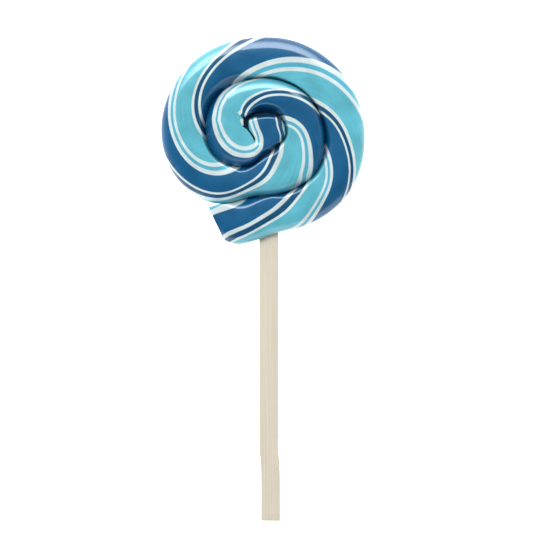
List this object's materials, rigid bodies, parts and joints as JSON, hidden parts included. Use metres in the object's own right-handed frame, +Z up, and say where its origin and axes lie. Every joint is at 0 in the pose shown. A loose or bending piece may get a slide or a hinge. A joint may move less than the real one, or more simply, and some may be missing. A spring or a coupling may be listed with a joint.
{
  "type": "swirl lollipop",
  "caption": "Twisted striped candy rope wound into a flat round swirl on a flat wooden stick, lying on its back with its cut outer end beside the stick.",
  "frame": {"origin": "on the surface that the lollipop lies on, under the middle of the round of candy", "axes": "+Z up through the shown face, +Y from the stick's free end towards the candy, +X to the right of the shown face"},
  "size_m": [0.076, 0.1807, 0.012],
  "materials": {
    "boiled_sugar": "glossy boiled sugar, striped turquoise, dark blue and white",
    "birch": "plain sanded birch"
  },
  "bodies": {
    "root": {"candy_swirl": "boiled_sugar", "stick": "birch"}
  },
  "joints": []
}
